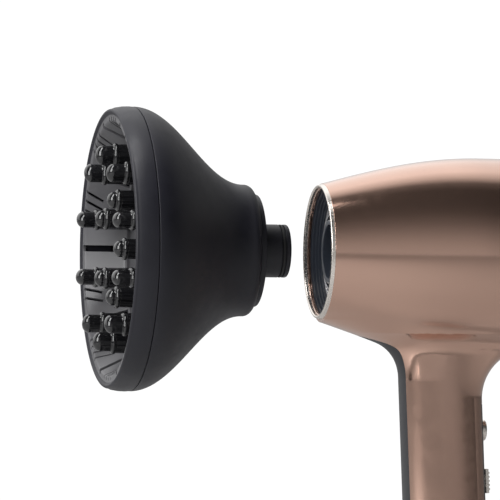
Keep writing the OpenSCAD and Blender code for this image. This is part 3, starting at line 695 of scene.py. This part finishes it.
def handle_front(z):
    """x of the handle's front at height z: straight, then its root's arc, then the keel line."""
    straight = HANDLE_X + RAKE * (ROOT_Z - z)
    curve = HANDLE_X - ROOT_R + np.sqrt(np.maximum(0, ROOT_R ** 2 - np.clip(z - ROOT_Z, 0, ROOT_R) ** 2))
    keel = KEEL_X - (z - KEEL_Z) / KEEL_SLOPE
    return np.where(z < ROOT_Z, straight, np.where(z < KEEL_Z, curve, keel))


def handle_back(z):
    """x of the handle's back at height z."""
    straight = BACK_X + RAKE * (BACK_Z - z)
    curve = BACK_X + BACK_R - np.sqrt(np.maximum(0, BACK_R ** 2 - np.clip(z - BACK_Z, 0, BACK_R) ** 2))
    return np.where(z < BACK_Z, straight, curve)


def handle_half(z):
    """Half the handle's width at height z."""
    straight = HANDLE_W / 2 - TAPER * (SIDE_Z - z)
    curve = SIDE_Y - np.sqrt(SIDE_R ** 2 - np.clip(z - SIDE_Z, 0, SIDE_TOP - SIDE_Z) ** 2)
    return np.where(z < SIDE_Z, straight, curve)


def front_power(z):
    """The exponent of the handle's front outline at height z: boxy below, rounder at the keel."""
    rise = np.clip((z - ROOT_Z) / (KEEL_Z - ROOT_Z), 0, 1)
    return BOX_POWER - 0.8 * rise * rise * (3 - 2 * rise)


def housing_depth(p):
    """About the distance from the housing's outer surface, in millimetres: negative inside."""
    x, y, z = p[:, 0], p[:, 1], p[:, 2]
    fall = np.cos(math.pi / 2 * np.clip(x, 0, BELLY_X) / BELLY_X)
    slope = np.where(x < BELLY_X, NOSE_SLOPE * fall, 0.0)
    barrel = (np.hypot(y, z) - barrel_radius(x)) / np.sqrt(1 + slope ** 2)
    low = np.minimum(z, HANDLE_TOP)
    front, back, half = handle_front(low), handle_back(low), handle_half(low)
    middle = (BACK_X + HANDLE_X) / 2 + RAKE * np.maximum(0, ROOT_Z - low)
    ahead = x < middle
    power = np.where(ahead, front_power(low), BOX_POWER)
    along = np.abs(x - middle) / np.where(ahead, middle - front, back - middle)
    across = np.abs(y) / half
    level = (along ** power + across ** power + 1e-9) ** (1 / power)
    handle = np.maximum((level - 1) * np.minimum(half, 20.0), z - HANDLE_TOP)
    share = np.clip(0.5 + 0.5 * (handle - barrel) / BLEND, 0, 1)
    return handle * (1 - share) + barrel * share - BLEND * share * (1 - share)


def slope_of(depth, p):
    """Gradient of a depth function at points p."""
    step = 0.02
    columns = []
    for axis in range(3):
        shift = np.zeros(3)
        shift[axis] = step
        columns.append((depth(p + shift) - depth(p - shift)) / (2 * step))
    return np.stack(columns, 1)


def surface_net(depth, low, high, pitch):
    """A closed quad mesh of the surface where depth is 0: its points, moved onto the surface, and faces.
    low and high are the corners of the box to search. Points more than two pitches off the surface, as
    where the box cuts it, stay where they are."""
    relaxings, pulls = 4, 3
    axes = [np.arange(a, b + pitch, pitch) for a, b in zip(low, high)]
    grid = np.stack(np.meshgrid(*axes, indexing="ij"), -1)
    count = grid.shape[:3]
    inside = (depth(grid.reshape(-1, 3)) < 0).reshape(count)
    inside[[0, -1]] = False
    inside[:, [0, -1]] = False
    inside[:, :, [0, -1]] = False
    corners = sum(
        inside[i:count[0] - 1 + i, j:count[1] - 1 + j, k:count[2] - 1 + k].astype(int)
        for i in (0, 1) for j in (0, 1) for k in (0, 1))
    mixed = (corners > 0) & (corners < 8)
    index = np.full(mixed.shape, -1)
    index[mixed] = np.arange(mixed.sum())
    points = grid[:-1, :-1, :-1][mixed] + pitch / 2
    faces = []
    for axis in range(3):
        near = np.take(inside, range(0, count[axis] - 1), axis)
        far = np.take(inside, range(1, count[axis]), axis)
        i, j, k = np.nonzero(near != far)
        flip = near[i, j, k]
        at = [np.array(c) for c in (i, j, k)]
        others = [a for a in range(3) if a != axis]
        ring = []
        for da, db in ((-1, -1), (0, -1), (0, 0), (-1, 0)):
            cell = [c.copy() for c in at]
            cell[others[0]] += da
            cell[others[1]] += db
            ring.append(index[cell[0], cell[1], cell[2]])
        quads = np.stack(ring, 1)
        if axis == 1:
            flip = ~flip
        quads[~flip] = quads[~flip][:, ::-1]
        faces.append(quads)
    faces = np.concatenate(faces)
    near_surface = np.abs(depth(points)) < 2 * pitch
    edges = np.concatenate([faces[:, [0, 1]], faces[:, [1, 2]], faces[:, [2, 3]], faces[:, [3, 0]]])
    for turn in range(relaxings + 1):
        if turn:
            total = np.zeros_like(points)
            weight = np.zeros(len(points))
            for a, b in ((0, 1), (1, 0)):
                np.add.at(total, edges[:, a], points[edges[:, b]])
                np.add.at(weight, edges[:, a], 1)
            relaxed = total / weight[:, None]
            points[near_surface] = 0.5 * points[near_surface] + 0.5 * relaxed[near_surface]
        for _ in range(pulls):
            live = points[near_surface]
            gradient = slope_of(depth, live)
            reach = depth(live) / np.maximum((gradient ** 2).sum(1), 0.05)      # flat spots stay put
            points[near_surface] = live - np.clip(reach, -pitch, pitch)[:, None] * gradient
    return points, faces


def net_object(depth, low, high, pitch):
    """A mesh object of the surface where depth is 0."""
    points, faces = surface_net(depth, low, high, pitch)
    mesh = bpy.data.meshes.new("net")
    mesh.from_pydata((points * MM).tolist(), [], faces.tolist())
    mesh.validate()
    made = bpy.data.objects.new("net", mesh)
    bpy.context.scene.collection.objects.link(made)
    return made


def true_normals(obj, depth):
    """Gives the faces that lie on the outer surface that surface's own normals."""
    tolerance, alike = 0.03, 0.8
    mesh = obj.data
    count = len(mesh.loops)
    vertex = np.empty(count, int)
    mesh.loops.foreach_get("vertex_index", vertex)
    points = np.empty(len(mesh.vertices) * 3)
    mesh.vertices.foreach_get("co", points)
    points = points.reshape(-1, 3) / MM
    gradient = slope_of(depth, points)
    gradient /= np.maximum(np.linalg.norm(gradient, axis=1), 1e-9)[:, None]
    close = np.abs(depth(points)) < tolerance
    face_normal = np.empty(len(mesh.polygons) * 3)
    mesh.polygons.foreach_get("normal", face_normal)
    sizes = np.empty(len(mesh.polygons), int)
    mesh.polygons.foreach_get("loop_total", sizes)
    per_loop = np.repeat(face_normal.reshape(-1, 3), sizes, axis=0)
    wanted = gradient[vertex]
    good = close[vertex] & ((per_loop * wanted).sum(1) > alike)
    per_loop[good] = wanted[good]
    mesh.shade_smooth()
    mesh.normals_split_custom_set(per_loop.tolist())


def strip_tool(grow):
    """The zone of the soft strip down the front of the handle, with its round upper end."""
    half = STRIP_W / 2 + grow
    start, end = 10, 52.5
    outline = [(-half, HANDLE_Z - 20), (half, HANDLE_Z - 20)]
    outline += [(half * math.cos(a), STRIP_TOP + half * math.sin(a))
                for a in [math.pi * k / 32 for k in range(33)]]
    return plain_object(prism(outline, start, end))


def panel_tool(grow):
    """The zone of the switch panel on the back of the handle."""
    half = PANEL_W / 2 + grow
    low = (BACK_X - 8, -half, PANEL_LOW - grow)
    return plain_object(block(low, (BACK_X + 22, half, PANEL_TOP + grow)))


def screw_well(x, z):
    """A cutter for the hole that a housing screw sits in, from the right side."""
    well = lathe([(WELL_Y, 0), (WELL_Y, WELL_R), (60, WELL_R), (60, 0)], 48)
    made = plain_object(turned(well, 90, "Z"))
    made.data.transform(Matrix.Translation((x * MM, 0, z * MM)))
    return made


def copied(obj):
    """A second object with its own copy of the mesh."""
    made = obj.copy()
    made.data = obj.data.copy()
    bpy.context.scene.collection.objects.link(made)
    return made


def finish_skin(name, obj, slot, replaces):
    """A piece of the housing, shaded by the true outer surface."""
    piece(name, obj, "housing", slot, replaces, weighted=False)
    true_normals(obj, housing_depth)


def make_housing():
    skin_pitch = 1.1
    core_pitch = 2.0
    low, high = (-4, -52, -196), (158, 52, 52)
    shell = net_object(housing_depth, low, high, skin_pitch)
    core = net_object(lambda p: housing_depth(p) + WALL, low, high, core_pitch)
    combined(shell, core, "DIFFERENCE")
    span = plain_object(block((RING_LEN, -60, HANDLE_Z), (BARREL_LEN, 60, 60)))
    combined(shell, span, "INTERSECT")
    strip = combined(copied(shell), strip_tool(0), "INTERSECT")
    panel = combined(copied(shell), panel_tool(0), "INTERSECT")
    combined(shell, strip_tool(SEAM), "DIFFERENCE")
    combined(shell, panel_tool(SEAM), "DIFFERENCE")
    for name, near, far in (("housing_left", -60, -HALVES_GAP), ("housing_right", HALVES_GAP, 60)):
        zone = plain_object(block((-5, near, -200), (160, far, 60)))
        half = combined(copied(shell), zone, "INTERSECT")
        if name == "housing_right":
            for x, z in SCREW_WELLS:
                combined(half, screw_well(x, z), "DIFFERENCE")
        finish_skin(name + "_shell", half, "bronze", [name])
    bpy.data.objects.remove(shell)
    front, back = BACK_X - 10, BACK_X + 20
    width, below, above = SLIDER_SLOT
    for z in (SPEED_Z, HEAT_Z):
        slot = block((front, -width, z - below), (back, width, z + above))
        combined(panel, plain_object(slot), "DIFFERENCE")
    outline = [(front, 0), (front, BUTTON_HOLE_R), (back, BUTTON_HOLE_R), (back, 0)]
    combined(panel, plain_object(lathe(outline, 64, (0, COOL_Z))), "DIFFERENCE")
    finish_skin("handle_grip_strip", strip, "charcoal", ["handle_front_strip"])
    finish_skin("switch_panel_plate", panel, "charcoal", ["switch_panel"])


# ---------------------------------------------------------------- the other nodes


def dress_cad_nodes():
    """Every CAD node gets its record's material. Those that still show are welded, with round edges."""
    weld_reach, edge_width, sharp = 0.005 * MM, 0.15 * MM, math.radians(40)
    slots = {s["node"]: s["material_slot"] for s in frame["record"]["subparts"]}
    for name, node in frame["nodes"].items():
        node.data.materials.clear()
        node.data.materials.append(LOOKS[slots[name]])
        if node.hide_render:
            continue
        weld = node.modifiers.new("weld", "WELD")
        weld.merge_threshold = weld_reach
        bevel = node.modifiers.new("edges", "BEVEL")
        bevel.width = edge_width
        bevel.segments = 2
        bevel.limit_method = "ANGLE"
        bevel.angle_limit = sharp
        bevel.harden_normals = False
        normals = node.modifiers.new("normals", "WEIGHTED_NORMAL")
        normals.keep_sharp = True


# ---------------------------------------------------------------- studio


FLOOR_R = 5                # metres: its far edge stays below the picture
FLOOR_GAP = 0.002

# Brightness of the studio round the barrel's axis: (degrees up from the camera's side, radiance).
STUDIO = (
    (-180, 0.5), (0, 0.46), (12, 0.37), (24, 0.25), (38, 0.12), (52, 0.04), (66, 0.012), (86, 0.012),
    (97, 0.10), (108, 0.80), (120, 1.3), (150, 1.3), (180, 0.5),
)
# Towards the dryer's rear the studio dims to this share, over these values of a direction's x.
REAR_DIMMING = 0.25
REAR_FROM, REAR_TO = 0.15, 0.65
BACKDROP = 1.05            # what the camera sees behind the dryer


def make_stage():
    """The floor: a plain pale disc, just under the hanging loop."""
    shape = bmesh.new()
    bmesh.ops.create_circle(shape, cap_ends=True, segments=96, radius=FLOOR_R)
    floor = plain_object(shape, "studio_floor")
    floor.location = (0.05, 0, cad_box[0][2] - FLOOR_GAP)
    look = Look("studio_floor", Roughness=0.9)
    look.link("Base Color", look.mix(look.noise(0.6, 2), (0.70, 0.70, 0.70, 1), (0.74, 0.74, 0.74, 1)))
    floor.data.materials.append(look.material)


def make_world(view):
    """Soft light from all round, by STUDIO and REAR_DIMMING, with a white backdrop for the camera."""
    world = bpy.data.worlds.new("studio")
    bpy.context.scene.world = world
    world.use_nodes = True
    tree = world.node_tree
    nodes, links = tree.nodes, tree.links
    nodes.clear()
    coords = nodes.new("ShaderNodeTexCoord")
    split = nodes.new("ShaderNodeSeparateXYZ")
    links.new(coords.outputs["Generated"], split.inputs[0])
    toward = nodes.new("ShaderNodeVectorMath")
    toward.operation = "DOT_PRODUCT"
    toward.inputs[1].default_value = (-view[0], -view[1], 0)
    links.new(coords.outputs["Generated"], toward.inputs[0])
    angle = nodes.new("ShaderNodeMath")
    angle.operation = "ARCTAN2"
    links.new(split.outputs["Z"], angle.inputs[0])
    links.new(toward.outputs["Value"], angle.inputs[1])
    turn = nodes.new("ShaderNodeMapRange")
    turn.inputs[1].default_value = -math.pi
    turn.inputs[2].default_value = math.pi
    links.new(angle.outputs[0], turn.inputs[0])
    ramp = nodes.new("ShaderNodeValToRGB")
    links.new(turn.outputs[0], ramp.inputs[0])
    stops = ramp.color_ramp.elements
    stops[1].position = 1.0
    for degrees, light in STUDIO:
        place = (degrees + 180) / 360
        stop = stops[0] if place == 0 else stops[len(stops) - 1] if place == 1 else stops.new(place)
        stop.color = (light, light, light, 1)
    rear = nodes.new("ShaderNodeMapRange")
    for socket, value in enumerate((REAR_FROM, REAR_TO, 1.0, REAR_DIMMING), 1):
        rear.inputs[socket].default_value = value
    links.new(split.outputs["X"], rear.inputs[0])
    light = nodes.new("ShaderNodeBackground")
    links.new(ramp.outputs["Color"], light.inputs["Color"])
    links.new(rear.outputs[0], light.inputs["Strength"])
    white = nodes.new("ShaderNodeBackground")
    white.inputs["Color"].default_value = (1, 1, 1, 1)
    white.inputs["Strength"].default_value = BACKDROP
    seen = nodes.new("ShaderNodeLightPath")
    mix = nodes.new("ShaderNodeMixShader")
    links.new(seen.outputs["Is Camera Ray"], mix.inputs[0])
    links.new(light.outputs[0], mix.inputs[1])
    links.new(white.outputs[0], mix.inputs[2])
    out = nodes.new("ShaderNodeOutputWorld")
    links.new(mix.outputs[0], out.inputs["Surface"])


def softbox(name, place, aim, size, power):
    """A lit panel of a size at a place, turned to an aim: metres and watts."""
    light = bpy.data.lights.new(name, "AREA")
    light.shape = "RECTANGLE"
    light.size, light.size_y = size
    light.energy = power
    made = bpy.data.objects.new(name, light)
    made.location = place
    made.rotation_euler = (Vector(aim) - Vector(place)).to_track_quat("-Z", "Y").to_euler()
    made.visible_camera = False
    bpy.context.scene.collection.objects.link(made)


def make_camera():
    """The photograph's angle, from far off, so that both halves of the photo's montage fit. Returns where
    it looks. width is what it sees across at the target, and sensor its film, as Blender has it."""
    sensor = 36
    yaw = math.radians(12.25)
    view = Vector((math.sin(yaw), math.cos(yaw), 0))
    target = Vector((-0.0338, 0, 0.0003))
    distance = 8.0
    width = 0.2458
    camera = bpy.data.cameras.new("camera")
    camera.sensor_width = sensor
    camera.lens = sensor * distance / width
    camera.clip_end = 30
    made = bpy.data.objects.new("camera", camera)
    made.location = target - view * distance
    roll = Euler((0, 0, math.radians(0.8))).to_quaternion()
    made.rotation_euler = (view.to_track_quat("-Z", "Y") @ roll).to_euler()
    bpy.context.scene.collection.objects.link(made)
    bpy.context.scene.camera = made
    return view


view = make_camera()
make_world(view)
softbox("overhead", (-0.23, -0.10, 0.34), (-0.105, -0.02, 0), (0.10, 0.34), 0.9)
softbox("tall_left", (-1.0, -0.52, 0.36), (-0.10, 0, 0.1), (0.6, 0.72), 9)
make_stage()

make_bell()
make_rim()
make_floor()
make_fingers()
make_plug()
make_nose_ring()
make_sleeve()
make_grille()
make_housing()
dress_cad_nodes()

scene = bpy.context.scene
scene.view_settings.view_transform = "Standard"
scene.view_settings.look = "None"
